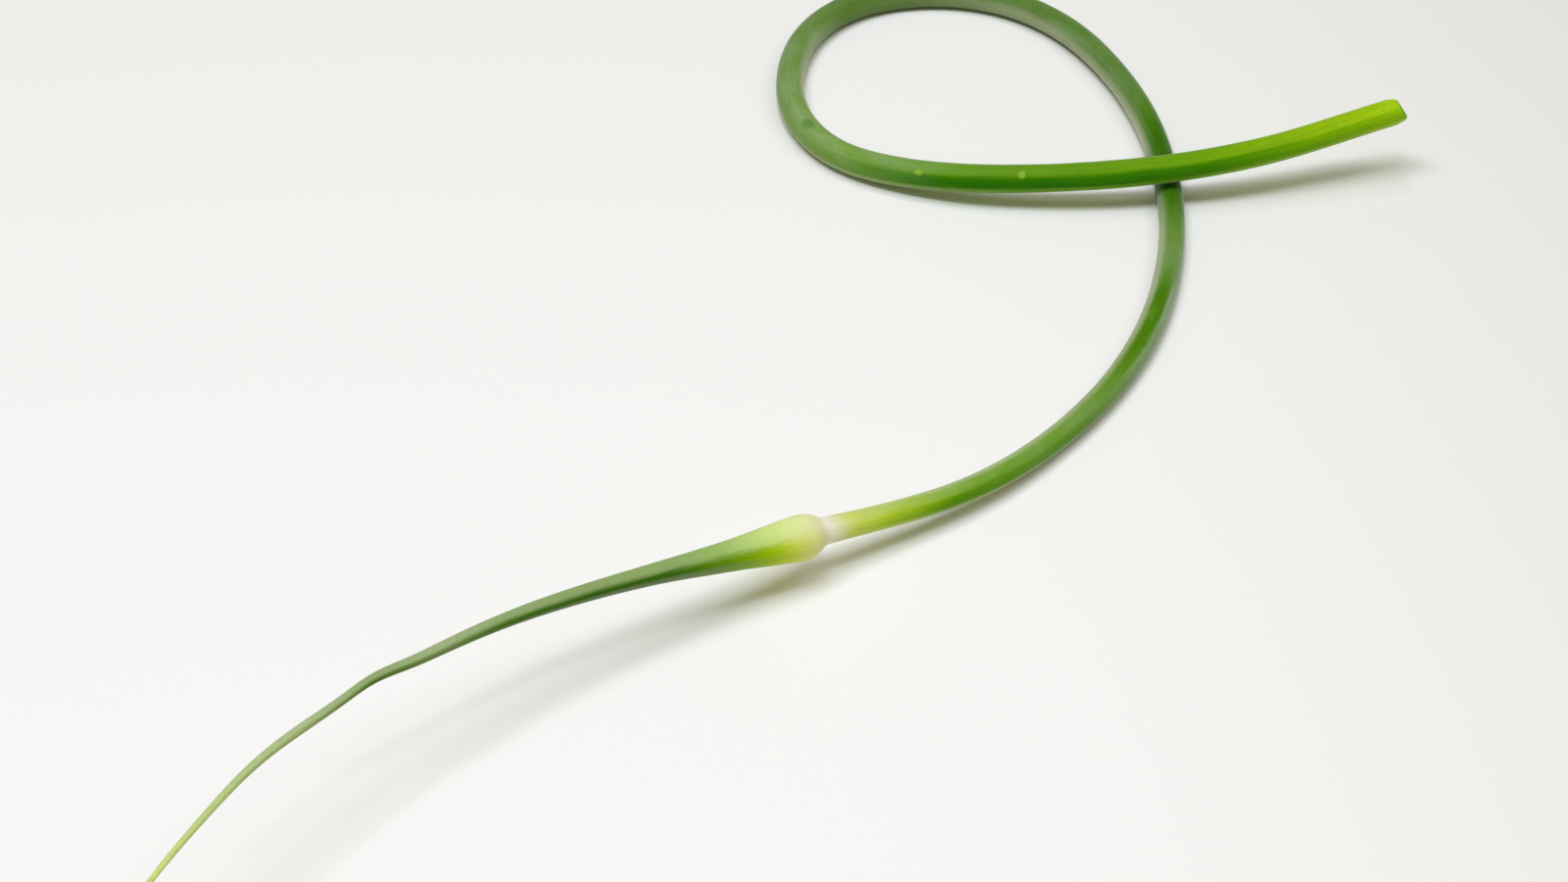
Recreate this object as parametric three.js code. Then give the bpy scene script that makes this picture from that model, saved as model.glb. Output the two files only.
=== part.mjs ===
// Garlic scape: the flower stalk of a hardneck garlic, cut and laid on a flat surface.
//
// Two pieces grew here. The stalk is one solid stem that curls into a loop, rests on
// itself where it crosses, and bends away again. The spathe is the leaf that wraps the
// flower bud: a swollen base on the stalk's neck, drawn out into a long thin beak.
// Both follow one line through the plant, from the cut end to the tip of the beak.
//
// Millimetres. +Z is up and the plant lies on z = 0, with the origin under the middle
// of its bounding box. +Y runs from the beak's side towards the loop.

import * as THREE from 'three';

// ---- driving dimensions ----

const STALK_LENGTH = 562.2; // from the middle of the cut face to the neck, along the plant
const NECK_GAP = 0.3; // between the stalk's end and the spathe's foot
const CUT_SLANT = THREE.MathUtils.degToRad(22); // the knife left the underside longer
const CUT_REACH = 9; // how far up the stalk the rings lean with the cut
const RING_STEP = 4; // between the rings of both meshes, along the plant
const STALK_SIDES = 20;
const SPATHE_SIDES = 16;

// The plant's line as the control points of a smooth curve, from the cut end to the tip.
// Where the stalk lies on the surface its line is half the stalk's thickness above it.
const LINE = [
  [148.8, 109.9, 21.3], [131.3, 105.9, 17.4], [116, 101.8, 14.2], [96.2, 98, 11.7], // cut end, held up
  [75.1, 95.5, 10.2], [52.6, 95.5, 8.7], [31.7, 97.8, 7], [12.2, 104.9, 4.7], // over the crossing, coming down
  [-2.2, 114.2, 3.9], [-11.7, 132.1, 3.9], [-12.4, 153.9, 3.9], [-6.4, 174, 3.9], // left side of the loop
  [8.1, 188, 3.9], [27.6, 192.5, 3.8], [47.3, 188.8, 3.8], [63.4, 175.9, 3.8], // top of the loop
  [73.9, 158.4, 3.7], [82.5, 135.9, 3.6], [86.6, 111.3, 3.5], [87.5, 87.3, 3.4], // under the crossing
  [84.6, 62.2, 3.4], [77.9, 37.5, 3.4], [65.8, 12.8, 3.5], [50.7, -7.3, 4], // the long bend back
  [33.1, -25.4, 5.7], [13.6, -37.7, 8.3], [-8.6, -50.6, 12.7], [-29.1, -63.4, 16.5], // rising to the bud
  [-49.8, -76.6, 21.4], [-71.1, -90.8, 25], [-86.2, -104.4, 27.7], [-93.3, -111.2, 28.7], // beak
  [-101.6, -116.7, 29.7], [-107.2, -125.3, 30.5], [-115.7, -135.1, 31.3], [-124.2, -145.8, 31.7], // its kinks
  [-131.9, -159.9, 31.6], [-141.7, -177.3, 30.2], [-149.5, -195.4, 27.9], // tip
];

// Half thicknesses, as [radius, distance along the piece] pairs.
const STALK_HALF = [[3.6, 0], [3.75, 40], [3.8, 90], [3.9, 150], [3.85, 210], [3.8, 260],
  [3.75, 300], [3.55, 345], [3.38, 390], [3.36, 440], [3.22, 475], [3.1, 500], [3.02, 530],
  [3.1, 552], [3.3, STALK_LENGTH]];
const SPATHE_HALF = [[3.2, 0], [4.5, 1.8], [5.15, 5.5], [4.7, 11.5], [3.9, 20], [3.05, 33],
  [2.4, 48], [2.03, 67], [1.73, 88], [1.42, 110], [1.15, 126], [1.2, 142], [1.05, 158],
  [0.85, 178], [0.7, 196], [0.32, 212]];

// ---- the plant's line ----

/** A uniform cubic B-spline: near every control point, and through the first and last. */
class PlantLine extends THREE.Curve {
  constructor(points) {
    super();
    this.arcLengthDivisions = 3000;
    this.points = points.map((point) => new THREE.Vector3(...point));
  }

  /** Control point i; one past either end mirrors its neighbour through the end point. */
  control(i) {
    const last = this.points.length - 1;
    const end = THREE.MathUtils.clamp(i, 0, last);
    if (i === end) return this.points[i];
    return this.points[end].clone().multiplyScalar(2).sub(this.points[2 * end - i]);
  }

  getPoint(t, target = new THREE.Vector3()) {
    const spans = this.points.length - 1;
    const span = Math.min(Math.floor(t * spans), spans - 1);
    const w = t * spans - span;
    const weights = [
      (1 - w) ** 3,
      3 * w ** 3 - 6 * w ** 2 + 4,
      -3 * w ** 3 + 3 * w ** 2 + 3 * w + 1,
      w ** 3,
    ];
    target.set(0, 0, 0);
    weights.forEach((weight, k) => target.addScaledVector(this.control(span - 1 + k), weight / 6));
    return target;
  }
}

const line = new PlantLine(LINE);
const lineLength = line.getLength();
const UP = new THREE.Vector3(0, 0, 1);

/**
 * Lay a piece turned about +Y along the plant's line: its height becomes the distance
 * along the line, counted from start, its x the distance across and its z the height above.
 */
function layAlong(geometry, start) {
  const position = geometry.attributes.position;
  for (let i = 0; i < position.count; i++) {
    const at = THREE.MathUtils.clamp((start + position.getY(i)) / lineLength, 0, 1);
    const place = line.getPointAt(at);
    const along = line.getTangentAt(at);
    const across = new THREE.Vector3().crossVectors(along, UP).normalize();
    const above = new THREE.Vector3().crossVectors(across, along);
    place.addScaledVector(across, position.getX(i)).addScaledVector(above, position.getZ(i));
    position.setXYZ(i, place.x, place.y, place.z);
  }
  geometry.computeVertexNormals();
  return geometry;
}

/** Evenly stepped rings of a piece's outline, as Vector2 (radius, distance along). */
function rings(halfThickness) {
  const outline = new THREE.SplineCurve(halfThickness.map((pair) => new THREE.Vector2(...pair)));
  return outline.getSpacedPoints(Math.round(outline.getLength() / RING_STEP));
}

/** A round solid with flat ends: its rings, closed on the axis at both ends. */
function turned(outline, sides) {
  const foot = new THREE.Vector2(0, outline[0].y);
  const head = new THREE.Vector2(0, outline.at(-1).y);
  return new THREE.LatheGeometry([foot, ...outline, head], sides);
}

// ---- the pieces ----

/** The stalk, with its first rings leaning so that the cut face is slanted. */
function stalkGeometry() {
  const geometry = turned(rings(STALK_HALF), STALK_SIDES);
  const position = geometry.attributes.position;
  for (let i = 0; i < position.count; i++) {
    const lean = Math.max(0, 1 - position.getY(i) / CUT_REACH) * Math.tan(CUT_SLANT);
    position.setY(i, position.getY(i) + lean * position.getZ(i));
  }
  const overhang = STALK_HALF[0][0] * Math.tan(CUT_SLANT);
  return layAlong(geometry, overhang);
}

/** The spathe, from its foot on the neck to the tip of the beak. */
function spatheGeometry() {
  const start = STALK_HALF[0][0] * Math.tan(CUT_SLANT) + STALK_LENGTH + NECK_GAP;
  return layAlong(turned(rings(SPATHE_HALF), SPATHE_SIDES), start);
}

const stalkGreen = new THREE.MeshStandardMaterial({ color: 0x5f8f3a, roughness: 0.45, metalness: 0 });
const spatheGreen = new THREE.MeshStandardMaterial({ color: 0x8aa85c, roughness: 0.5, metalness: 0 });

const stalk = new THREE.Mesh(stalkGeometry(), stalkGreen);
stalk.name = 'stalk';

const spathe = new THREE.Mesh(spatheGeometry(), spatheGreen);
spathe.name = 'spathe';

const scape = new THREE.Group();
scape.add(stalk, spathe);

export default scape;
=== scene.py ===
# %% [markdown]
# # A garlic scape
#
# A garlic scape is the flower stalk of a hardneck garlic, cut while its bud is still
# shut. Two things grew here: a smooth round stalk that curls into a loop, and the
# spathe, the leaf that wraps the bud and is drawn out into a long thin beak. The packed
# model already fixes where both lie and how thick they are. This lesson keeps that
# frame, and makes the two living surfaces around it: their ribs and veins, the cut, the
# neck, and skins that run from lime through clean green to a dusty blue-green bloom.

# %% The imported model
import math

import bpy
import numpy as np
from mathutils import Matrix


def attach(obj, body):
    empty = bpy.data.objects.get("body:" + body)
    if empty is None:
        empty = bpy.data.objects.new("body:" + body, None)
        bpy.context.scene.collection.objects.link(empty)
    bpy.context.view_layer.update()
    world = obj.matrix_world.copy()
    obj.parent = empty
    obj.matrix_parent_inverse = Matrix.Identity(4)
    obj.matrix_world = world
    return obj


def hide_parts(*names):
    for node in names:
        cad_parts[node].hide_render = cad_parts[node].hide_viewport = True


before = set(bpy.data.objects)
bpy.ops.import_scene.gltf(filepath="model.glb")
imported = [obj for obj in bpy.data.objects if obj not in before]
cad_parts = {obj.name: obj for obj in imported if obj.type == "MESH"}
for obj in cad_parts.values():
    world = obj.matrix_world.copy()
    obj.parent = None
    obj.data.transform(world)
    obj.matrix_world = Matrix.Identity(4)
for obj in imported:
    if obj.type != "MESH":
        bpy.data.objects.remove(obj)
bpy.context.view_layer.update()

MM = 0.001

# %% [markdown]
# ## The camera
#
# The scape lies on a table and is looked down on, from the side where its beak points.
# A long lens from about a metre keeps the loop nearly as large as the bud. The camera
# comes first, because everything after it can then be judged through it.

# %% Camera
LOOK_DOWN = math.radians(39.4)
CAMERA_HEIGHT = 602 * MM
AIM_X, AIM_Y = -13.4 * MM, -1 * MM
LENS, SENSOR_WIDTH = 90, 36          # in millimetres, which is how Blender takes them

camera_data = bpy.data.cameras.new("camera")
camera_data.lens = LENS
camera_data.sensor_width = SENSOR_WIDTH
camera = bpy.data.objects.new("camera", camera_data)
camera.location = (AIM_X, AIM_Y - CAMERA_HEIGHT / math.tan(LOOK_DOWN), CAMERA_HEIGHT)
camera.rotation_euler = (math.pi / 2 - LOOK_DOWN, 0, 0)
bpy.context.scene.collection.objects.link(camera)
bpy.context.scene.camera = camera
bpy.context.scene.view_settings.view_transform = "Standard"
print("camera to table:", round(CAMERA_HEIGHT / math.sin(LOOK_DOWN), 3), "m")

# %% [markdown]
# ## The plant's line
#
# Both pieces follow one line from the cut end to the tip of the beak. It could be a
# Bezier curve object, but the surfaces below need to ask for any point of it and which
# way it runs there, thousands of times at once. So it is the same smooth curve that the
# frame was made with: a uniform cubic B-spline over a short list of points, worked out
# once as a fine table that numpy can look up.

# %% The points it follows, in millimetres
LINE = [
    (148.8, 109.9, 21.3), (131.3, 105.9, 17.4), (116, 101.8, 14.2), (96.2, 98, 11.7),
    (75.1, 95.5, 10.2), (52.6, 95.5, 8.7), (31.7, 97.8, 7), (12.2, 104.9, 4.7),
    (-2.2, 114.2, 3.9), (-11.7, 132.1, 3.9), (-12.4, 153.9, 3.9), (-6.4, 174, 3.9),
    (8.1, 188, 3.9), (27.6, 192.5, 3.8), (47.3, 188.8, 3.8), (63.4, 175.9, 3.8),
    (73.9, 158.4, 3.7), (82.5, 135.9, 3.6), (86.6, 111.3, 3.5), (87.5, 87.3, 3.4),
    (84.6, 62.2, 3.4), (77.9, 37.5, 3.4), (65.8, 12.8, 3.5), (50.7, -7.3, 4),
    (33.1, -25.4, 5.7), (13.6, -37.7, 8.3), (-8.6, -50.6, 12.7), (-29.1, -63.4, 16.5),
    (-49.8, -76.6, 21.4), (-71.1, -90.8, 25), (-86.2, -104.4, 27.7), (-93.3, -111.2, 28.7),
    (-101.6, -116.7, 29.7), (-107.2, -125.3, 30.5), (-115.7, -135.1, 31.3), (-124.2, -145.8, 31.7),
    (-131.9, -159.9, 31.6), (-141.7, -177.3, 30.2), (-149.5, -195.4, 27.9),
]


def plant_line(points, steps=400):
    """A uniform cubic B-spline as a table, with `steps` rows to each stretch.

    Each row blends four control points in turn with the weights (1-w)^3, 3w^3-6w^2+4,
    -3w^3+3w^2+3w+1 and w^3, all over 6. A mirrored point past either end makes the
    curve start and finish on its end points. Returns the distance along the curve, the
    places and the directions.
    """
    points = np.array(points, float) * MM
    padded = np.vstack([2 * points[0] - points[1], points, 2 * points[-1] - points[-2]])
    stretches = len(points) - 1
    t = np.linspace(0, stretches, stretches * steps + 1)
    first = np.minimum(t.astype(int), stretches - 1)
    w = (t - first)[:, None]
    weights = [(1 - w) ** 3, 3 * w**3 - 6 * w**2 + 4, -3 * w**3 + 3 * w**2 + 3 * w + 1, w**3]
    place = sum(weight * padded[first + k] for k, weight in enumerate(weights)) / 6
    step = np.linalg.norm(np.diff(place, axis=0), axis=1)
    distance = np.concatenate([[0], np.cumsum(step)])
    along = np.gradient(place, distance, axis=0)
    return distance, place, along / np.linalg.norm(along, axis=1)[:, None]


line_distance, line_place, line_along = plant_line(LINE)
print("line from cut to tip:", round(line_distance[-1] / MM, 1), "mm")

# %% [markdown]
# ## Laying a piece along the line
#
# A surface here is a function of two numbers: how far along the piece, and how far
# round it. It is first thought of as a straight, turned shape, where the distance from
# the axis may differ round the piece. Then the axis is bent along the line. The same
# straight position is kept on every vertex, so that the skins can be painted on the
# straight piece and follow each bend, as a real plant's markings do.


# %% Helpers for shapes
TABLE_TOP = 0.02 * MM


def laid(distance, out, turn):
    """Points `out` from the line, at `distance` along it, turned by `turn` round it.

    The point is place + out * (cos(turn) * across + sin(turn) * above), where across is
    along x up, and above is across x along. All three arguments are whole grids. What
    would come lower than the table's top is pressed flat on it.
    """
    place = np.stack([np.interp(distance, line_distance, c) for c in line_place.T], -1)
    along = np.stack([np.interp(distance, line_distance, c) for c in line_along.T], -1)
    across = np.cross(along, [0.0, 0.0, 1.0])
    across /= np.linalg.norm(across, axis=-1, keepdims=True)
    above = np.cross(across, along)
    sideways = np.cos(turn)[..., None] * across + np.sin(turn)[..., None] * above
    points = place + out[..., None] * sideways
    points[..., 2] = np.maximum(points[..., 2], TABLE_TOP)
    return points


def through(knots, where):
    """A smooth curve through the (where, value) knots, read at `where`.

    Each stretch is a cubic whose slope at a knot is the mean slope beside that knot.
    """
    at, value = np.array(knots, float).T
    slope = np.gradient(value, at)
    i = np.clip(np.searchsorted(at, where) - 1, 0, len(at) - 2)
    length = at[i + 1] - at[i]
    w = np.clip((where - at[i]) / length, 0, 1)
    return (
        value[i] * (2 * w**3 - 3 * w**2 + 1)
        + slope[i] * length * (w**3 - 2 * w**2 + w)
        + value[i + 1] * (3 * w**2 - 2 * w**3)
        + slope[i + 1] * length * (w**3 - w**2)
    )


def smooth_step(value, low, high):
    """0 below low, 1 above high, and 3w^2 - 2w^3 of the way between them."""
    w = np.clip((value - low) / (high - low), 0, 1)
    return w * w * (3 - 2 * w)


def ripples(turn, distance, waves, reach, seed):
    """Uneven lengthwise ribs, between about -1 and 1.

    A sum of cosines, one for each whole number of waves round the piece, over the root
    of how many there are. Each one's phase wanders by two sines of distance / reach,
    and its strength swings by a third one between 0.2 and 1.
    """
    draw = np.random.default_rng(seed)
    total = np.zeros(np.broadcast(turn, distance).shape)
    for count in waves:
        phase, drift, swell = draw.uniform(0, 2 * math.pi, 3)
        wander = np.sin(distance / reach + drift) + 0.6 * np.sin(distance / reach * 2.3 + swell)
        strength = 0.6 + 0.4 * np.sin(distance / reach * 1.7 + phase)
        total = total + strength * np.cos(count * turn + phase + wander)
    return total / math.sqrt(len(waves))


def facing(turn, towards, width):
    """1 on the side of the piece at `towards`, fading to 0 at `width` from it.

    Both are in degrees. 0 is the right side of the way that the plant runs, 90 is up,
    180 is the left side and 270 is down.
    """
    apart = np.abs((turn - math.radians(towards) + math.pi) % (2 * math.pi) - math.pi)
    return 1 - smooth_step(apart, 0, math.radians(width))


print("a smooth step at 0, a half and 1:", smooth_step(np.array([0, 0.5, 1]), 0, 1))

# %% [markdown]
# ## From a grid to a closed mesh
#
# The first and last rows of a grid each shrink to one point, a pole, so a piece is a
# closed skin with no seam: the last column joins the first. The piece also gets its own
# flat map, in strips that lie side by side, so that a texture baked from it later gives
# every millimetre of this long thin thing the same number of dots.

# %% Helpers for the flat map
MAP_EDGE = 0.004


def strip_map(gaps, girth, strips):
    """The edges of each ring of faces on a flat map, as (u low, u high), (v low, v high).

    gaps are the distances from ring to ring, and girth is how far it is round them. The
    piece is cut across into strips of equal length that lie side by side, with MAP_EDGE
    left clear at their edges. u runs along a strip and v round the piece, and a strip is
    as wide as its greatest girth asks for.
    """
    ring_at = np.concatenate([[0], np.cumsum(gaps)])
    begin, end = ring_at[:-1], ring_at[1:]
    length = ring_at[-1] / strips
    strip = np.minimum((begin / length).astype(int), strips - 1)
    width = np.array([girth[strip == k].max() for k in range(strips)])
    foot = np.concatenate([[0], np.cumsum(width)]) / width.sum()
    start = np.array([begin[strip == k].min() for k in range(strips)])
    longest = max(end[strip == k].max() - start[k] for k in range(strips))
    u = [MAP_EDGE + (1 - 2 * MAP_EDGE) * (at - start[strip]) / longest for at in (begin, end)]
    v = [foot[strip] + MAP_EDGE, foot[strip + 1] - MAP_EDGE]
    return u, v


def flat_map(straight, strips):
    """The (u, v) of each corner of each face, in the order that closed_skin has them."""
    rings, sides = straight.shape[0] - 2, straight.shape[1]
    gaps = np.linalg.norm(np.diff(straight, axis=0), axis=-1).mean(1)
    girth = np.linalg.norm(np.diff(straight, axis=1), axis=-1).sum(1)
    (u0, u1), (v0, v1) = strip_map(gaps, np.maximum(girth[:-1], girth[1:]), strips)
    lower = np.arange(sides) / sides
    upper = (np.arange(sides) + 1) / sides
    middle = (lower + upper) / 2

    def corners(ring, *places):
        wide = (v1 - v0)[ring, None]
        pairs = [(u[ring, None], v0[ring, None] + wide * v) for u, v in places]
        pairs = [np.stack(np.broadcast_arrays(*pair), -1) for pair in pairs]
        return np.stack(pairs, -2).reshape(-1, 2)

    return np.concatenate([
        corners(np.array([0]), (u0, middle), (u1, lower), (u1, upper)),
        corners(np.arange(1, rings), (u0, lower), (u1, lower), (u1, upper), (u0, upper)),
        corners(np.array([rings]), (u1, middle), (u0, upper), (u0, lower)),
    ])


# %% Helpers for a closed skin
def closed_skin(name, points, straight, marks, strips):
    """A mesh object from a grid of points whose first and last rows are poles.

    Its faces are a fan of triangles round each pole, and four-sided ones from ring to
    ring. straight is the same grid before it was bent, and marks are named numbers on it.
    """
    rings, sides = points.shape[0] - 2, points.shape[1]

    def flat(grid):
        between = grid[1:-1].reshape(-1, *grid.shape[2:])
        return np.concatenate([grid[:1, 0], between, grid[-1:, 0]])

    here = 1 + np.arange(rings * sides).reshape(rings, sides)
    beside = np.roll(here, -1, axis=1)
    last = rings * sides + 1
    quads = np.stack([here[:-1], here[1:], beside[1:], beside[:-1]], -1).reshape(-1, 4)
    foot = np.stack([np.zeros(sides, int), here[0], beside[0]], -1)
    head = np.stack([np.full(sides, last), beside[-1], here[-1]], -1)
    mesh = bpy.data.meshes.new(name)
    mesh.from_pydata(flat(points), [], foot.tolist() + quads.tolist() + head.tolist())
    mesh.shade_smooth()

    for mark, grid in {"straight": straight, **marks}.items():
        kind, part = ("FLOAT_VECTOR", "vector") if grid.ndim == 3 else ("FLOAT", "value")
        mesh.attributes.new(mark, kind, "POINT")
        mesh.attributes[mark].data.foreach_set(part, flat(grid).astype(np.float32).ravel())
    mesh.uv_layers.new(name="OFBake")
    uv = flat_map(straight, strips).astype(np.float32).ravel()
    mesh.uv_layers["OFBake"].data.foreach_set("uv", uv)

    piece = bpy.data.objects.new(name, mesh)
    bpy.context.scene.collection.objects.link(piece)
    triangles = np.concatenate([quads[:, [0, 1, 2]], quads[:, [0, 2, 3]], foot, head])
    a, b, c = flat(points)[triangles].swapaxes(0, 1)
    volume = np.einsum("ij,ij->", a, np.cross(b, c)) / 6
    print(name, len(mesh.polygons), "faces,", round(volume / MM**3), "cubic mm")
    print("its faces point out:", volume > 0)
    return piece


def bent_skin(name, distance, out, turn, rise, marks, strips):
    """A piece's closed skin, from its straight shape and the plant's line.

    On the straight piece a point lies at (out * cos(turn), rise, out * sin(turn)). On
    the plant it lies `out` from the line, at `distance` along it.
    """
    distance, out, turn, rise = np.broadcast_arrays(distance, out, turn, rise)
    straight = np.stack([out * np.cos(turn), rise, out * np.sin(turn)], -1)
    marks = {mark: np.broadcast_to(grid, out.shape) for mark, grid in marks.items()}
    return closed_skin(name, laid(distance, out, turn), straight, marks, strips)


# %% [markdown]
# ## The stalk
#
# The stalk is a solid round stem, 7.2 mm thick at the cut, 7.8 mm in the loop and 6 mm
# at the bud. A tube from a bevelled curve would give that, and would look like plastic:
# a real one is a little oval, swells and thins, and has shallow ribs that wander along
# it. So it is a grid with its own radius at every point. The knife went through at a
# slant and left the underside longer, so the rings near the cut lean with it, and the
# end is pinched above and below. The cut itself is more rings, closing to the middle: a
# rounded rim where the skin curls in, and a pith that has dried to a shallow dish.

# %% The stalk's sizes, in millimetres
STALK_LENGTH = 562.2
STALK_SIDES = 120
STALK_HALF = [
    (0, 3.6), (40, 3.75), (90, 3.8), (150, 3.9), (210, 3.85), (260, 3.8), (300, 3.75), (345, 3.55),
    (390, 3.38), (440, 3.36), (475, 3.22), (500, 3.1), (530, 3.02), (552, 3.1), (562.2, 3.3),
]
CUT_SLANT = math.radians(18)
CUT_REACH = 9
CUT_OVERHANG = STALK_HALF[0][1] * math.tan(CUT_SLANT)
RIM = 1.0
DISH = 0.3
PINCHES = [(0.7, 65, 110), (0.9, 240, 100)]     # depth, then facing and width in degrees
SKIN_INSET = 0.06
OVAL, OVAL_REACH = 0.014, 55                    # a share of the radius, then a distance
RIBS, RIB_WAVES, RIB_REACH = 0.022, (7, 11, 16, 23, 31), 26
DENTS, DENT_WAVES, DENT_REACH = 0.018, (2, 3, 4, 5), 3.1
SWELLS, SWELL_LONG, SWELL_SHORT = 0.03, 19, 7.3
PITH_RINGS, PITH_RAYS = 0.035, 0.03

# %% Where the stalk's rings go
rim_starts = 1 - RIM / STALK_HALF[0][1]
face_rings = np.linspace(0, rim_starts, 18)[1:-1]
rim_turns = np.linspace(0, math.pi / 2, 9)
side_rings = np.concatenate([
    np.arange(RIM, 6, 0.3) + 0.12,
    np.arange(6.2, STALK_LENGTH - 12, 0.82),
    np.arange(STALK_LENGTH - 11.7, STALK_LENGTH, 0.4),
])
END_INSETS = [0.9, 0.6, 0.3, 0]
END_RISE = STALK_LENGTH + 0.2


def stalk_rows():
    """Each row's inset, rise and cut, as three columns.

    inset is its share of the full radius, rise is its distance from the cut, and cut is
    1 on the cut face and 0 on the skin. From the first row to the last they are the
    pole of the cut, the pith, the rim (a quarter of a circle), the side, and a flat end
    that closes to its pole inside the spathe.
    """
    parts = [
        ([0], [0], [1]),
        (face_rings, np.zeros(len(face_rings)), np.ones(len(face_rings))),
        (rim_starts + (1 - rim_starts) * np.sin(rim_turns),
         (1 - np.cos(rim_turns)) * RIM, np.linspace(1, 0, len(rim_turns))),
        (np.ones(len(side_rings)), side_rings, np.zeros(len(side_rings))),
        (END_INSETS, [END_RISE] * len(END_INSETS), [0] * len(END_INSETS)),
    ]
    return [np.concatenate(column)[:, None] for column in zip(*parts)]


print("rows on the stalk:", len(stalk_rows()[0]))


# %% The stalk's surface
def stalk_grid():
    """The stalk as grids of distance, radius, turn and rise, and its marks.

    Its radius is the smooth thickness, times an oval of two waves round it, plus fine
    ribs, slow swellings and shallow dents, less what is pinched at the cut, and less
    SKIN_INSET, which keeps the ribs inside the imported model's box. A ring's distance
    leans by its height times tan(slant), fading to none at CUT_REACH. The pith is sunk
    by DISH, with a grain of faint waves round and across it.
    """
    turn = np.linspace(0, 2 * math.pi, STALK_SIDES, endpoint=False)[None, :]
    inset, rise, cut = stalk_rows()

    half = through(STALK_HALF, rise)
    oval = OVAL * np.cos(2 * turn + rise / OVAL_REACH) * smooth_step(rise, 0, 40)
    oval = oval * (1 - smooth_step(rise, 500, 550))
    ribs = RIBS * ripples(turn, rise, RIB_WAVES, RIB_REACH, seed=4)
    swell = SWELLS * np.sin(rise / SWELL_LONG) * np.sin(rise / SWELL_SHORT + 1)
    swell = swell * smooth_step(rise, 5, 60) * (1 - smooth_step(rise, 520, 556))
    dents = DENTS * ripples(turn, rise, DENT_WAVES, DENT_REACH, seed=11)
    pinch = sum(depth * facing(turn, towards, width) for depth, towards, width in PINCHES)
    pinch = pinch * (1 - smooth_step(rise, -1, 4.5)) ** 1.5
    out = inset * (half * (1 + oval) - SKIN_INSET + ribs + swell + dents - pinch)

    grain = PITH_RINGS * np.cos(9 * turn + 5 * inset) * np.sin(14 * inset)
    grain = grain + PITH_RAYS * np.cos(4 * turn + 9 * inset)
    grain = grain * cut * smooth_step(inset, 0, 0.2) * (1 - smooth_step(inset, 0.5, 0.75))
    sunk = DISH * (cut * (1 - smooth_step(inset, 0.3, 0.75))) + grain
    lean = np.maximum(0, 1 - rise / CUT_REACH) * math.tan(CUT_SLANT)
    height = out * np.sin(turn)
    distance = CUT_OVERHANG + rise + sunk + lean * height
    return distance * MM, out * MM, turn, rise * MM, {"cut": cut}


stalk = bent_skin("scape_stalk", *stalk_grid(), strips=5)

# %% [markdown]
# ## The spathe
#
# The spathe is a leaf, rolled shut round the bud. Its foot clasps the stalk's neck with
# a thin lip, swells in a rounded shoulder to 10 mm, and tapers over 20 cm into a beak.
# Fine veins run its whole length. It could be modelled as a leaf and curled up, but
# nothing of its inside shows, so it is the same kind of closed skin as the stalk, with
# raised veins, flattened sides on the beak, and the groove where the leaf's edges meet.

# %% The spathe's sizes, in millimetres
SPATHE_LENGTH = 211.5
SPATHE_SIDES = 144
NECK_GAP = 0.3
NECK_OVERLAP = 1.2
SPATHE_STARTS = CUT_OVERHANG + STALK_LENGTH + NECK_GAP
SPATHE_HALF = [
    (-1.2, 3.28), (-0.5, 3.36), (0.2, 3.58), (1.1, 4.08), (2.2, 4.6), (3.6, 5.0), (5.5, 5.12),
    (8, 4.98), (11.5, 4.62), (15.5, 4.25), (20, 3.82), (33, 3), (48, 2.37), (67, 1.98), (88, 1.68),
    (110, 1.37), (126, 1.1), (142, 1.15), (158, 1), (178, 0.8), (196, 0.64), (211.5, 0.28),
]
FULLER_BELOW = 0.5
VEINS, VEIN_HEIGHT = 30, 0.055
TWIST_REACH = 140
FOLDS = 0.05, 0.06                              # these three are shares of the radius
GROOVE = 0.13
LUMPS = 0.01
FOOT_INSETS, TIP_INSETS = (0, 0.4, 0.8, 0.97), (0.9, 0.7, 0.4, 0)
print("the spathe starts", round(SPATHE_STARTS, 1), "mm along the line")


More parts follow.
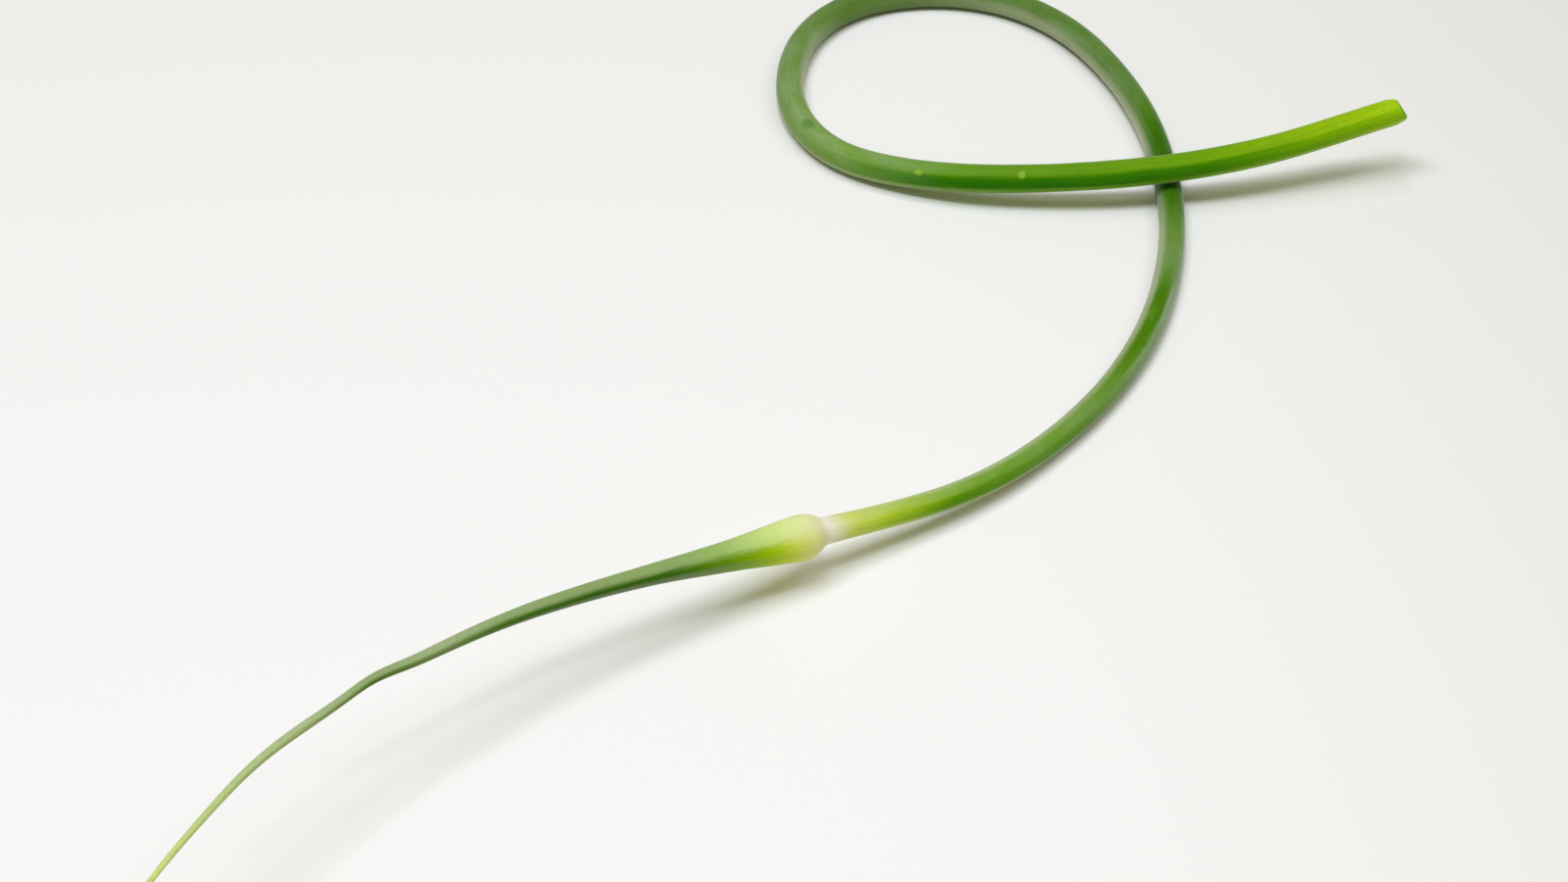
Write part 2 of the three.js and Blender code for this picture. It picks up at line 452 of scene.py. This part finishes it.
# %% The spathe's surface
def spathe_grid():
    """The spathe as grids of distance, radius, turn and rise. It has no marks.

    Its radius is the smooth thickness, a little fuller below, plus raised veins: the
    fourth power of a cosine with VEINS waves, on a turn that twists slowly. The beak
    is less round: three and two waves are added, and a narrow groove is taken away.
    The first rows close the foot as FOOT_INSETS says, and the last ones close the tip.
    """
    turn = np.linspace(0, 2 * math.pi, SPATHE_SIDES, endpoint=False)[None, :]
    rise = np.concatenate([
        [-NECK_OVERLAP] * len(FOOT_INSETS), np.arange(-NECK_OVERLAP, 9, 0.2),
        np.arange(9, 40, 0.35), np.arange(40, SPATHE_LENGTH, 0.55),
        [SPATHE_LENGTH] * (len(TIP_INSETS) - 1),
    ])[:, None]
    inset = np.ones(rise.shape)
    inset[:len(FOOT_INSETS), 0] = FOOT_INSETS
    inset[-len(TIP_INSETS):, 0] = TIP_INSETS

    half = through(SPATHE_HALF, rise)
    bud = smooth_step(rise, 0, 4) * (1 - smooth_step(rise, 12, 45))
    beak = smooth_step(rise, 35, 90)
    below = FULLER_BELOW * bud * facing(turn, 240, 120)
    twist = turn + rise / TWIST_REACH
    vein = (0.5 + 0.5 * np.cos(VEINS * twist)) ** 4
    uneven = 0.7 + 0.3 * ripples(turn, rise, (3, 5, 8), 18, seed=8)
    veins = VEIN_HEIGHT * vein * uneven * smooth_step(rise, 0, 3) * (1 - 0.75 * beak)
    three, two = FOLDS[0] * np.cos(3 * twist + 1), FOLDS[1] * np.cos(2 * twist - 0.6)
    folds = half * beak * (three + two)
    lumps = LUMPS * half * ripples(turn, rise, (2, 3, 5, 7), 6, seed=21)
    lumps = lumps * smooth_step(rise, 1, 6)
    groove = GROOVE * half * facing(turn, 205, 24) * smooth_step(rise, 70, 130)
    out = inset * (half + below + veins + folds + lumps - groove)
    return (SPATHE_STARTS + rise) * MM, out * MM, turn, rise * MM, {}


spathe = bent_skin("scape_spathe", *spathe_grid(), strips=4)

# %% [markdown]
# ## Shader arithmetic
#
# A skin is painted by many small sums on masks. Written as nodes, each takes several
# lines, so one small class wraps a node's output and turns Python's own operators into
# Math nodes. Another holds the tree and makes any other node.


# %% Helper for arithmetic
class Wire:
    """A node's output. Arithmetic on one that carries a number adds Math nodes."""

    def __init__(self, nodes, socket):
        self.nodes = nodes
        self.socket = socket

    def beside(self, output):
        """Another output of the same node."""
        return Wire(self.nodes, self.socket.node.outputs[output])

    def maths(self, operation, first, second):
        return self.nodes.add("Math", {"operation": operation}, {0: first, 1: second})

    def __add__(self, other):
        return self.maths("ADD", self, other)

    def __radd__(self, other):
        return self.maths("ADD", other, self)

    def __sub__(self, other):
        return self.maths("SUBTRACT", self, other)

    def __rsub__(self, other):
        return self.maths("SUBTRACT", other, self)

    def __mul__(self, other):
        return self.maths("MULTIPLY", self, other)

    def __rmul__(self, other):
        return self.maths("MULTIPLY", other, self)

    def __truediv__(self, other):
        return self.maths("DIVIDE", self, other)


# %% Helpers for colours and nodes
def paint(red, green, blue):
    """A colour given as on a paint chart, 0 to 255, in the linear light shaders use."""
    chart = np.array([red, green, blue]) / 255
    light = np.where(chart <= 0.04045, chart / 12.92, ((chart + 0.055) / 1.055) ** 2.4)
    return (*light.tolist(), 1.0)


# Wax hardly shines. It scatters light softly, most of all towards a piece's edges.
WAXY = {"Specular IOR Level": 0.02, "Sheen Weight": 0.5, "Sheen Roughness": 0.3}
BUMP_DEPTH = 0.1 * MM
GRAIN_TINT = paint(196, 212, 160)


class Nodes:
    """A node tree under construction."""

    def __init__(self, tree):
        self.tree = tree
        tree.nodes.clear()

    def add(self, kind, settings=None, sockets=None, output=0):
        """Adds a node, sets it up, then gives its sockets values or links."""
        node = self.tree.nodes.new("ShaderNode" + kind)
        for name, value in (settings or {}).items():
            if name == "stops":
                for _ in value[2:]:
                    node.color_ramp.elements.new(1)
                for element, (position, colour) in zip(node.color_ramp.elements, value):
                    element.position = position
                    element.color = colour
            else:
                setattr(node, name, value)
        for name, value in (sockets or {}).items():
            if isinstance(value, Wire):
                self.tree.links.new(value.socket, node.inputs[name])
            else:
                node.inputs[name].default_value = value
        return Wire(self, node.outputs[output]) if node.outputs else None

    def mixed(self, amount, first, second, blend="MIX"):
        """The first colour, with that amount of the second over it.

        A Mix node takes its two colours at inputs 6 and 7, and gives one at output 2.
        """
        settings = {"data_type": "RGBA", "blend_type": blend}
        return self.add("Mix", settings, {0: amount, 6: first, 7: second}, 2)

    def tinted(self, colour, tint):
        """The colour times the tint, as if seen through coloured glass."""
        return self.mixed(1.0, colour, tint, "MULTIPLY")

    def vector(self, operation, first, second=(0, 0, 0), output="Vector"):
        """A Vector Math node, for places and directions."""
        return self.add("VectorMath", {"operation": operation}, {0: first, 1: second}, output)

    def step(self, value, low, high):
        """0 below low, 1 above high, and smooth between."""
        names = {"Value": value, "From Min": low, "From Max": high}
        return self.add("MapRange", {"interpolation_type": "SMOOTHSTEP"}, names)

    def noise(self, place, scale, detail=2.0, roughness=0.5, distortion=0.0, seed=0.0):
        """Blotches from about 0 to 1, with `scale` of them to the millimetre each way."""
        place = self.vector("MULTIPLY", place, scale)
        settings = {"noise_dimensions": "4D"}
        sockets = {"Vector": place, "W": seed, "Scale": 1.0, "Detail": detail,
                   "Roughness": roughness, "Distortion": distortion}
        return self.add("TexNoise", settings, sockets)

    def along(self, distance, stops):
        """A colour that changes along the piece, from (millimetre, colour) stops."""
        start, end = stops[0][0], stops[-1][0]
        scaled = self.add("MapRange", {}, {"Value": distance, "From Min": start, "From Max": end})
        stops = [((at - start) / (end - start), colour) for at, colour in stops]
        return self.add("ValToRGB", {"stops": stops}, {0: scaled})

    def amount(self, distance, stops):
        """A number that changes along the piece, from (millimetre, number) stops."""
        grey = [(at, (number, number, number, 1.0)) for at, number in stops]
        return self.add("RGBToBW", {}, {0: self.along(distance, grey)})

    def grained(self, amount, specks, colour):
        """The colour with this amount of fine grain: a deeper green in the specks."""
        deeper = self.tinted(colour, GRAIN_TINT)
        return self.mixed(amount * self.step(specks, 0.48, 0.72), colour, deeper)

    def sides_of(self, place):
        """How far along the straight place lies, how far it faces up, and how far out."""
        distance = self.add("SeparateXYZ", {}, {0: place}, "Y")
        outward = self.vector("MULTIPLY", place, (1, 0, 1))
        from_middle = self.vector("LENGTH", outward, output="Value")
        return distance, distance.beside("Z") / from_middle, from_middle

    def towards(self, place, degrees):
        """1 on the side of the piece that faces this turn, 0 square to it, -1 opposite."""
        outward = self.vector("NORMALIZE", self.vector("MULTIPLY", place, (1, 0, 1)))
        turn = math.radians(degrees)
        way = (math.cos(turn), 0, math.sin(turn))
        return self.vector("DOT_PRODUCT", outward, way, "Value")

    def spot(self, place, centre, size):
        """1 in the middle of an oval spot on the piece, 0 past its rim; all in mm."""
        apart = self.vector("DIVIDE", self.vector("SUBTRACT", place, centre), size)
        return 1 - self.step(self.vector("LENGTH", apart, output="Value"), 0.45, 1.0)

    def waxy_skin(self, colour, roughness, height, bump):
        """Ends the tree in a waxy skin, where `bump` is the strength of its fine relief."""
        sockets = {"Strength": bump, "Distance": BUMP_DEPTH, "Height": height}
        normal = self.add("Bump", {}, sockets)
        sockets = {"Base Color": colour, "Roughness": roughness, "Normal": normal, **WAXY}
        skin = self.add("BsdfPrincipled", {}, sockets)
        self.add("OutputMaterial", {}, {"Surface": skin})


def new_skin(name):
    """A new material, its nodes, and its straight place in millimetres."""
    material = bpy.data.materials.new(name)
    material.use_nodes = True
    nodes = Nodes(material.node_tree)
    straight = nodes.add("Attribute", {"attribute_name": "straight"}, {}, "Vector")
    place = nodes.add("VectorMath", {"operation": "SCALE"}, {0: straight, "Scale": 1 / MM})
    return material, nodes, place


print("a leaf green in linear light:", [round(part, 3) for part in paint(84, 132, 4)[:3]])

# %% [markdown]
# ## The stalk's skin
#
# Under everything is clean green: lime at the young cut end, deep along the middle, and
# paling to cream below the bud. Where the stretch near the cut crosses over, the green
# darkens to nearly black, a painted shadow, and the bloom is left off there. Near the cut
# a band on the flank outside the curl is darker, and so is the whole underside: both are
# painted shade. Over it lies the bloom, a thin dusting of wax that greys and cools the
# green. Its amount is set along the stalk and broken up by soft noise. On the flanks the
# bloom is thicker, partly as bloom and partly as painted sheen. The inside of the curl is
# paled by painted sheen, and the lower edge on the outside of the curl by a painted
# reflection of the white table. Along the crest of some stretches the bloom is thinner
# and the green deeper, in streaks. Last come a fine grain, two small pale scars and a
# bruise. One colour for the whole stalk would be simpler, but a plant shows its age and
# its handling along its length.

# %% Stalk colours by distance from the cut, in millimetres
GREEN_AND_SHADOW = [
    (0, paint(170, 206, 18)), (14, paint(152, 192, 10)), (32, paint(136, 180, 4)),
    (55, paint(112, 162, 1)), (80, paint(104, 154, 4)), (110, paint(98, 150, 2)),
    (135, paint(104, 152, 8)), (150, paint(112, 156, 22)), (165, paint(110, 150, 30)),
    (230, paint(84, 122, 30)), (300, paint(80, 122, 22)), (340, paint(80, 124, 14)),
    # The stops from 354 to 384 mm darken to a painted shadow, where the stretch near the cut
    # crosses over this one.
    (354, paint(70, 120, 1)), (366, paint(60, 112, 1)), (375, paint(28, 92, 1)),
    (384, paint(66, 116, 2)), (400, paint(94, 138, 20)), (430, paint(84, 132, 4)),
    (450, paint(88, 136, 8)), (476, paint(104, 148, 22)), (506, paint(108, 156, 10)),
    (526, paint(118, 164, 4)), (537, paint(158, 190, 20)), (547, paint(190, 210, 50)),
    (555, paint(208, 220, 88)), (557.5, paint(220, 223, 138)), (560, paint(238, 235, 206)),
    (563, paint(242, 238, 222)),
]
BLOOM = [
    (0, 0.0), (100, 0.02), (116, 0.06), (130, 0.16), (145, 0.24), (165, 0.26), (195, 0.2),
    (215, 0.15), (232, 0.06), (300, 0.1), (335, 0.1), (350, 0.01), (386, 0.01), (398, 0.14),
    (415, 0.26), (430, 0.04), (455, 0.06), (474, 0.14), (490, 0.12), (507, 0.09), (520, 0.11),
    (532, 0.18), (550, 0.2), (558, 0.1),
]
# Bloom off the crest, thickened on the flanks partly as bloom and partly as painted sheen.
SIDE_BLOOM_AND_SHEEN = [
    (0, 0.0), (120, 0.0), (135, 0.06), (150, 0.16), (165, 0.24), (190, 0.22), (212, 0.2),
    (228, 0.06), (260, 0.06), (300, 0.18), (335, 0.18), (362, 0.02), (386, 0.06), (400, 0.16),
    (418, 0.38), (432, 0.42), (452, 0.3), (470, 0.12), (498, 0.06), (512, 0.02), (530, 0.0),
    (545, 0.02), (555, 0.05),
]
# How much painted sheen pales the inside of the curl, along the stalk.
PAINTED_SHEEN_INSIDE = [
    (0, 0.0), (150, 0.0), (175, 0.4), (205, 0.3), (226, 0.05), (250, 0.1), (290, 0.5),
    (336, 0.55), (356, 0.72), (366, 0.3), (376, 0.0), (386, 0.25), (400, 0.4), (430, 0.32),
    (475, 0.3), (510, 0.45), (530, 0.34), (552, 0.3), (560, 0.1),
]
# How far round from the inside of the curl the painted sheen reaches.
INSIDE_REACH = [
    (150, 0.0), (183, 0.35), (208, 0.35), (228, 0.1), (320, 0.08), (354, 0.18), (397, 0.5),
    (430, 0.7), (450, 0.85), (474, 1.0), (505, 1.05),
]
# How much a painted reflection of the white table pales the lower edge outside the curl.
PAINTED_REFLECTION_UNDER = [
    (0, 0.1), (30, 0.1), (60, 0.0), (100, 0.04), (127, 0.2), (146, 0.32), (162, 0.4),
    (190, 0.28), (226, 0.0), (440, 0.0), (460, 0.15), (476, 0.4), (505, 0.5), (525, 0.5),
    (540, 0.35), (556, 0.2),
]
# How strongly painted shade darkens the band on the flank outside the curl, along the stalk.
SHADED = [
    (0, 0.3), (30, 0.45), (52, 0.8), (80, 0.8), (110, 0.9), (128, 0.75), (146, 0.3),
    (160, 0.0), (452, 0.0), (474, 0.2), (504, 0.3), (518, 0.35), (528, 0.42), (537, 0.35),
    (550, 0.15), (563, 0.0),
]
# How much thinner the bloom is along the crest, where the green is deeper, along the stalk.
BARE_CREST = [
    (345, 0.0), (352, 0.8), (386, 0.8), (398, 0.4), (412, 0.2),
    (428, 1.0), (450, 0.9), (458, 0.7), (472, 0.2), (500, 0.0),
]
BLOOM_GREY = paint(178, 194, 168)
# The pale of the painted sheen and of the painted reflection below.
PALE_SHEEN_AND_REFLECTION = paint(214, 210, 184)
SHADE_TINT = paint(100, 190, 40)
BARE_CREST_TINT = paint(196, 220, 90)
PITH_MIDDLE, PITH_EDGE, CUT_RIM = paint(206, 218, 150), paint(156, 188, 70), paint(30, 124, 54)
print("stops of clean green:", len(GREEN_AND_SHADOW), "of the 32 that a ramp can hold")

# %% Where the stalk's marks are
# Sides are in degrees, as in facing. A spot has its middle and its half sizes in mm.
CREST, OUTSIDE, UNDERSIDE, INSIDE = 98, 165, 222, 350
SCARS = [((-2.6, 128, 2.4), (1.0, 1.5, 1.0)), ((-2.3, 101.5, 2.8), (1.4, 1.2, 1.4))]
SCAR_COLOUR = paint(184, 214, 80)
BRUISE = (-0.8, 165, 3.6), (2.0, 2.8, 2.4)
BRUISE_COLOUR = paint(70, 122, 40)
print("marks on the stalk:", len(SCARS), "scars and a bruise")


# %% The stalk's material
def stalk_skin():
    """Green with painted shadow and shade, bloom and painted sheen, a barer crest, marks, the cut.
    """
    material, nodes, place = new_skin("stalk_skin")
    distance, up, from_middle = nodes.sides_of(place)

    streaks = nodes.noise(place, (1.1, 0.06, 1.1), detail=3.0, seed=2.0)
    blotches = nodes.noise(
        place, (0.3, 0.09, 0.3), detail=3.0, roughness=0.55, distortion=0.4, seed=5.0
    )
    specks = nodes.noise(place, (2.4, 1.0, 2.4), seed=9.0)

    wander = (14 - 11 * nodes.step(distance, 530, 554)) * (blotches - 0.5)
    # The green along the stalk, with the painted shadow under the crossing in it.
    clean = nodes.along(distance + wander, GREEN_AND_SHADOW)
    # Painted shade: a band on the flank outside the curl, near the cut, and the whole underside.
    outer = nodes.towards(place, OUTSIDE)
    band = nodes.step(outer + 0.12 * (streaks - 0.5), 0.82, 0.985)
    shade = nodes.amount(distance, SHADED) * band + 0.2 * (1 - nodes.step(up, -1.0, 0.2))
    darker = shade + 0.15 * nodes.step(streaks, 0.45, 0.65)
    clean = nodes.mixed(darker, clean, nodes.tinted(clean, SHADE_TINT))

    dusty = (0.6 + 0.8 * nodes.step(blotches, 0.32, 0.68)) * (0.75 + 0.5 * specks)
    crest = nodes.towards(place, CREST) + 0.16 * (streaks - 0.5)
    on_top = nodes.step(crest, 0.68, 0.97)
    over = nodes.amount(distance, BLOOM)
    # Off the crest the bloom's amount also holds painted sheen on the flanks.
    bloom = (over + (nodes.amount(distance, SIDE_BLOOM_AND_SHEEN) - over) * (1 - on_top)) * dusty
    # Along the crest of some stretches the bloom thins and the green deepens, in streaks.
    bare_crest = nodes.amount(distance, BARE_CREST) * nodes.step(crest, 0.78, 0.98)
    bare_crest = bare_crest * nodes.step(blotches, 0.35, 0.5)
    bloom = bloom * (1 - 0.9 * bare_crest)
    # Painted sheen on the inside of the curl.
    reach = nodes.towards(place, INSIDE) + nodes.amount(distance, INSIDE_REACH)
    pale = nodes.amount(distance, PAINTED_SHEEN_INSIDE)
    pale = pale * nodes.step(reach + 0.2 * (streaks - 0.5), 0.7, 1.2)
    # Painted reflection of the white table on the lower edge outside the curl.
    under = nodes.step(nodes.towards(place, UNDERSIDE), 0.8, 1.0)
    pale = pale + nodes.amount(distance, PAINTED_REFLECTION_UNDER) * under
    colour = nodes.mixed(bloom, clean, BLOOM_GREY)
    colour = nodes.mixed(pale, colour, PALE_SHEEN_AND_REFLECTION)
    bare_crest_green = nodes.tinted(colour, BARE_CREST_TINT)
    colour = nodes.mixed(0.7 * bare_crest, colour, bare_crest_green)

    colour = nodes.grained(0.4 * (1 - nodes.step(distance, 515, 545)), specks, colour)
    colour = nodes.mixed(0.6 * nodes.spot(place, *BRUISE), colour, BRUISE_COLOUR)
    for centre, size in SCARS:
        colour = nodes.mixed(0.4 * nodes.spot(place, centre, size), colour, SCAR_COLOUR)

    cut = nodes.add("Attribute", {"attribute_name": "cut"}, {}, "Fac")
    pith = nodes.mixed(nodes.step(from_middle, 1.0, 2.8), PITH_MIDDLE, PITH_EDGE)
    pith = nodes.mixed(nodes.step(from_middle, 2.5, 2.9), pith, CUT_RIM)
    colour = nodes.mixed(nodes.step(cut, 0.2, 0.8), colour, pith)

    rough = 0.4 + 0.5 * bloom + 0.06 * specks
    fine = nodes.noise(place, (7, 0.8, 7), detail=3.0, roughness=0.6, seed=3.0)
    nodes.waxy_skin(colour, rough, fine + 0.5 * specks, bump=0.2)
    return material


stalk.data.materials.append(stalk_skin())
print("nodes in the stalk's skin:", len(stalk.data.materials[0].node_tree.nodes))

# %% [markdown]
# ## The spathe's skin
#
# The bud is cream and lime where the leaf is stretched thin over it, and greens within
# two centimetres. The beak is dusty on top and darker green below, partly its own clean
# green and partly painted shade, and yellows at its far end, where it has begun to dry.
# One row of colours along it couldn't show both sides, so there are two, one for the
# upper side and one for the lower. Faint streaks run with the veins, a thin pale painted
# reflection of the white table lies along the lowest side, and the beak has the same fine
# grain as the stalk.

# %% Spathe colours by distance from its foot, in millimetres
UPPER = [
    (-1.5, paint(245, 241, 228)), (0.6, paint(238, 234, 198)), (2.4, paint(228, 226, 170)),
    (5, paint(228, 232, 166)), (10, paint(220, 232, 150)), (15, paint(204, 224, 130)),
    (20, paint(186, 212, 124)), (28, paint(154, 186, 100)), (40, paint(142, 170, 102)),
    (62, paint(142, 164, 102)), (85, paint(144, 168, 112)), (102, paint(160, 178, 130)),
    (122, paint(144, 168, 112)), (140, paint(168, 186, 138)), (158, paint(176, 196, 134)),
    (178, paint(192, 210, 130)), (192, paint(208, 222, 134)), (205, paint(208, 206, 132)),
    (212, paint(190, 166, 104)),
]
# The lower side: partly its own deeper green and partly painted shade.
LOWER_AND_SHADE = [
    (-1.5, paint(234, 228, 206)), (0.6, paint(228, 221, 176)), (2.4, paint(222, 219, 148)),
    (5, paint(222, 225, 134)), (10, paint(206, 220, 72)), (15, paint(168, 200, 4)),
    (20, paint(134, 176, 1)), (28, paint(98, 144, 2)), (40, paint(58, 108, 1)),
    (62, paint(50, 96, 1)), (85, paint(66, 108, 14)), (102, paint(112, 138, 70)),
    (122, paint(84, 114, 32)), (140, paint(152, 170, 106)), (158, paint(168, 186, 116)),
    (178, paint(188, 206, 120)), (192, paint(204, 218, 126)), (205, paint(200, 196, 114)),
    (212, paint(180, 154, 94)),
]
# How much a painted reflection of the white table pales the lowest side, along the spathe.
PAINTED_REFLECTION_BELOW = [
    (0, 0.0), (14, 0.05), (28, 0.25), (40, 0.4), (62, 0.4), (85, 0.34), (102, 0.2), (140, 0.05),
    (180, 0.0),
]
# The pale of that painted reflection.
REFLECTION_PALE = paint(168, 172, 146)
STREAK_TINT = paint(190, 205, 150)
LOWER_SIDE, LOWEST_SIDE = 200, 225      # in degrees, as in facing
print("stops on the spathe's upper and lower side:", len(UPPER), len(LOWER_AND_SHADE))


# %% The spathe's material
def spathe_skin():
    """Upper colours blended into lower ones with painted shade, then streaks, painted reflection,
    grain.
    """
    material, nodes, place = new_skin("spathe_skin")
    distance = nodes.add("SeparateXYZ", {}, {0: place}, "Y")
    lower_side = nodes.towards(place, LOWER_SIDE)

    streaks = nodes.noise(place, (2.6, 0.05, 2.6), detail=3.0, roughness=0.6, seed=4.0)
    specks = nodes.noise(place, (2.2, 0.7, 2.2), seed=7.0)

    wander = distance + 3 * (streaks - 0.5)
    upper = nodes.along(wander, UPPER)
    # The lower side's colours, with their painted shade.
    lower = nodes.along(wander, LOWER_AND_SHADE)
    blend = nodes.step(lower_side + 0.4 * (streaks - 0.5), 0.25, 0.78)
    colour = nodes.mixed(blend, upper, lower)
    streaky = 0.12 * nodes.step(streaks, 0.45, 0.65)
    colour = nodes.mixed(streaky, colour, nodes.tinted(colour, STREAK_TINT))
    # Painted reflection of the white table along the lowest side.
    below = nodes.step(nodes.towards(place, LOWEST_SIDE), 0.5, 0.85)
    colour = nodes.mixed(nodes.amount(distance, PAINTED_REFLECTION_BELOW) * below, colour, REFLECTION_PALE)
    colour = nodes.grained(0.3 * nodes.step(distance, 15, 40), specks, colour)

    rough = 0.42 + 0.12 * specks
    fine = nodes.noise(place, (8, 0.5, 8), detail=3.0, roughness=0.6, seed=6.0)
    nodes.waxy_skin(colour, rough, fine, bump=0.25)
    return material


spathe.data.materials.append(spathe_skin())
print("nodes in the spathe's skin:", len(spathe.data.materials[0].node_tree.nodes))

# %% [markdown]
# ## Table, backdrop and light
#
# The table is a plain matt white, greyed a little to the right by painted shade where the
# light falls off, and where it runs off into the distance the camera sees it fade to the
# plain backdrop, so that no edge shows.
# A quarter of its light comes evenly from all round, warm, as in a bright white room.
# The rest comes from three flat lamps high above: the strongest a little to the left
# and nearer than the plant, a weak one behind it, and one reaching out to the right.
# Near the table their shadows overlap in one dark crisp band, and under the rising beak
# they part into paler ones.

# %% Table
TABLE_REACH = 4.0
GREYEST_AT = 0.32                       # metres to the right of the middle
FADE_FROM, FADE_TO = 0.45, 0.9          # metres from the middle
# The greyer colour is painted shade, towards the right.
TABLE_WHITE, TABLE_PAINTED_SHADE = paint(246, 245, 243), paint(234, 232, 228)
BACKDROP = paint(247, 246, 244)

corners = [(x * TABLE_REACH, y * TABLE_REACH, 0) for x, y in ((-1, -1), (1, -1), (1, 1), (-1, 1))]
table_mesh = bpy.data.meshes.new("table")
table_mesh.from_pydata(corners, [], [(0, 1, 2, 3)])
table = bpy.data.objects.new("table", table_mesh)
bpy.context.scene.collection.objects.link(table)

table_white = bpy.data.materials.new("table_white")
table_white.use_nodes = True
nodes = Nodes(table_white.node_tree)
place = nodes.add("TexCoord", output="Object")
# Painted shade: the table greys towards the right.
shade_to_right = nodes.step(nodes.add("SeparateXYZ", {}, {0: place}, "X"), 0.0, GREYEST_AT)
matt = nodes.add("BsdfDiffuse", {}, {"Color": nodes.mixed(shade_to_right, TABLE_WHITE, TABLE_PAINTED_SHADE)})
plain = nodes.add("Emission", {}, {"Color": BACKDROP, "Strength": 1.0})
seen = nodes.add("LightPath", output="Is Camera Ray")
from_middle = nodes.vector("LENGTH", place, output="Value")
far = nodes.step(from_middle, FADE_FROM, FADE_TO) * seen
surface = nodes.add("MixShader", {}, {0: far, 1: matt, 2: plain})
nodes.add("OutputMaterial", {}, {"Surface": surface})
table_mesh.materials.append(table_white)
print("the table is", 2 * TABLE_REACH, "m across")

# %% Room light
ROOM_LIGHT = 0.26
ROOM_COLOUR = paint(255, 246, 200)

world = bpy.data.worlds.new("room")
world.use_nodes = True
bpy.context.scene.world = world
nodes = Nodes(world.node_tree)
seen = nodes.add("LightPath", output="Is Camera Ray")
seen = seen + seen.beside("Is Glossy Ray") + seen.beside("Is Transmission Ray")
backdrop = nodes.add("Background", {}, {"Color": BACKDROP, "Strength": 1.0})
light = nodes.add("Background", {}, {"Color": ROOM_COLOUR, "Strength": ROOM_LIGHT})
surface = nodes.add("MixShader", {}, {0: seen, 1: light, 2: backdrop})
nodes.add("OutputWorld", {}, {"Surface": surface})
print("share of the table's light from the room:", ROOM_LIGHT)

# %% Lamps
LAMP_HEIGHT = 1.5
LAMP_COLOUR = (0.985, 1.015, 1.135)


def lamp(name, over, half, turn, share):
    """A flat lamp facing straight down, that gives a white table this share of full white.

    over is its middle and half its half sizes, all as shares of its height, and turn is
    in degrees. A lamp of P watts at height h lights the table's middle to
    P * m / (pi * h)^2, where m is the mean over the lamp of 1 / (1 + x^2 + y^2)^2, and
    x and y are shares of the height too.
    """
    side = np.linspace(-1, 1, 41)
    u, v = np.meshgrid(side * half[0], side * half[1])
    angle = math.radians(turn)
    x = over[0] + u * math.cos(angle) - v * math.sin(angle)
    y = over[1] + u * math.sin(angle) + v * math.cos(angle)
    data = bpy.data.lights.new(name, "AREA")
    data.shape = "RECTANGLE"
    data.size = 2 * half[0] * LAMP_HEIGHT
    data.size_y = 2 * half[1] * LAMP_HEIGHT
    data.color = LAMP_COLOUR
    data.energy = share * (math.pi * LAMP_HEIGHT) ** 2 / ((1 + x**2 + y**2) ** -2.0).mean()
    made = bpy.data.objects.new(name, data)
    made.location = (over[0] * LAMP_HEIGHT, over[1] * LAMP_HEIGHT, LAMP_HEIGHT)
    made.rotation_euler = (0, 0, angle)
    bpy.context.scene.collection.objects.link(made)
    print(name, round(data.energy, 2), "W")


lamp("front_lamp", over=(-0.22, -0.22), half=(0.32, 0.12), turn=-20, share=0.46)
lamp("back_lamp", over=(-0.05, 0.14), half=(0.08, 0.22), turn=4, share=0.13)
lamp("right_lamp", over=(0.6, -0.1), half=(0.4, 0.08), turn=3, share=0.15)

# %% [markdown]
# ## The pieces
#
# Each skin stands in for its solid of the imported model and rides with it.

# %% Pieces
for piece, node, slot in ((stalk, "stalk", "stalk_skin"), (spathe, "spathe", "spathe_skin")):
    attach(piece, "root")
    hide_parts(node)
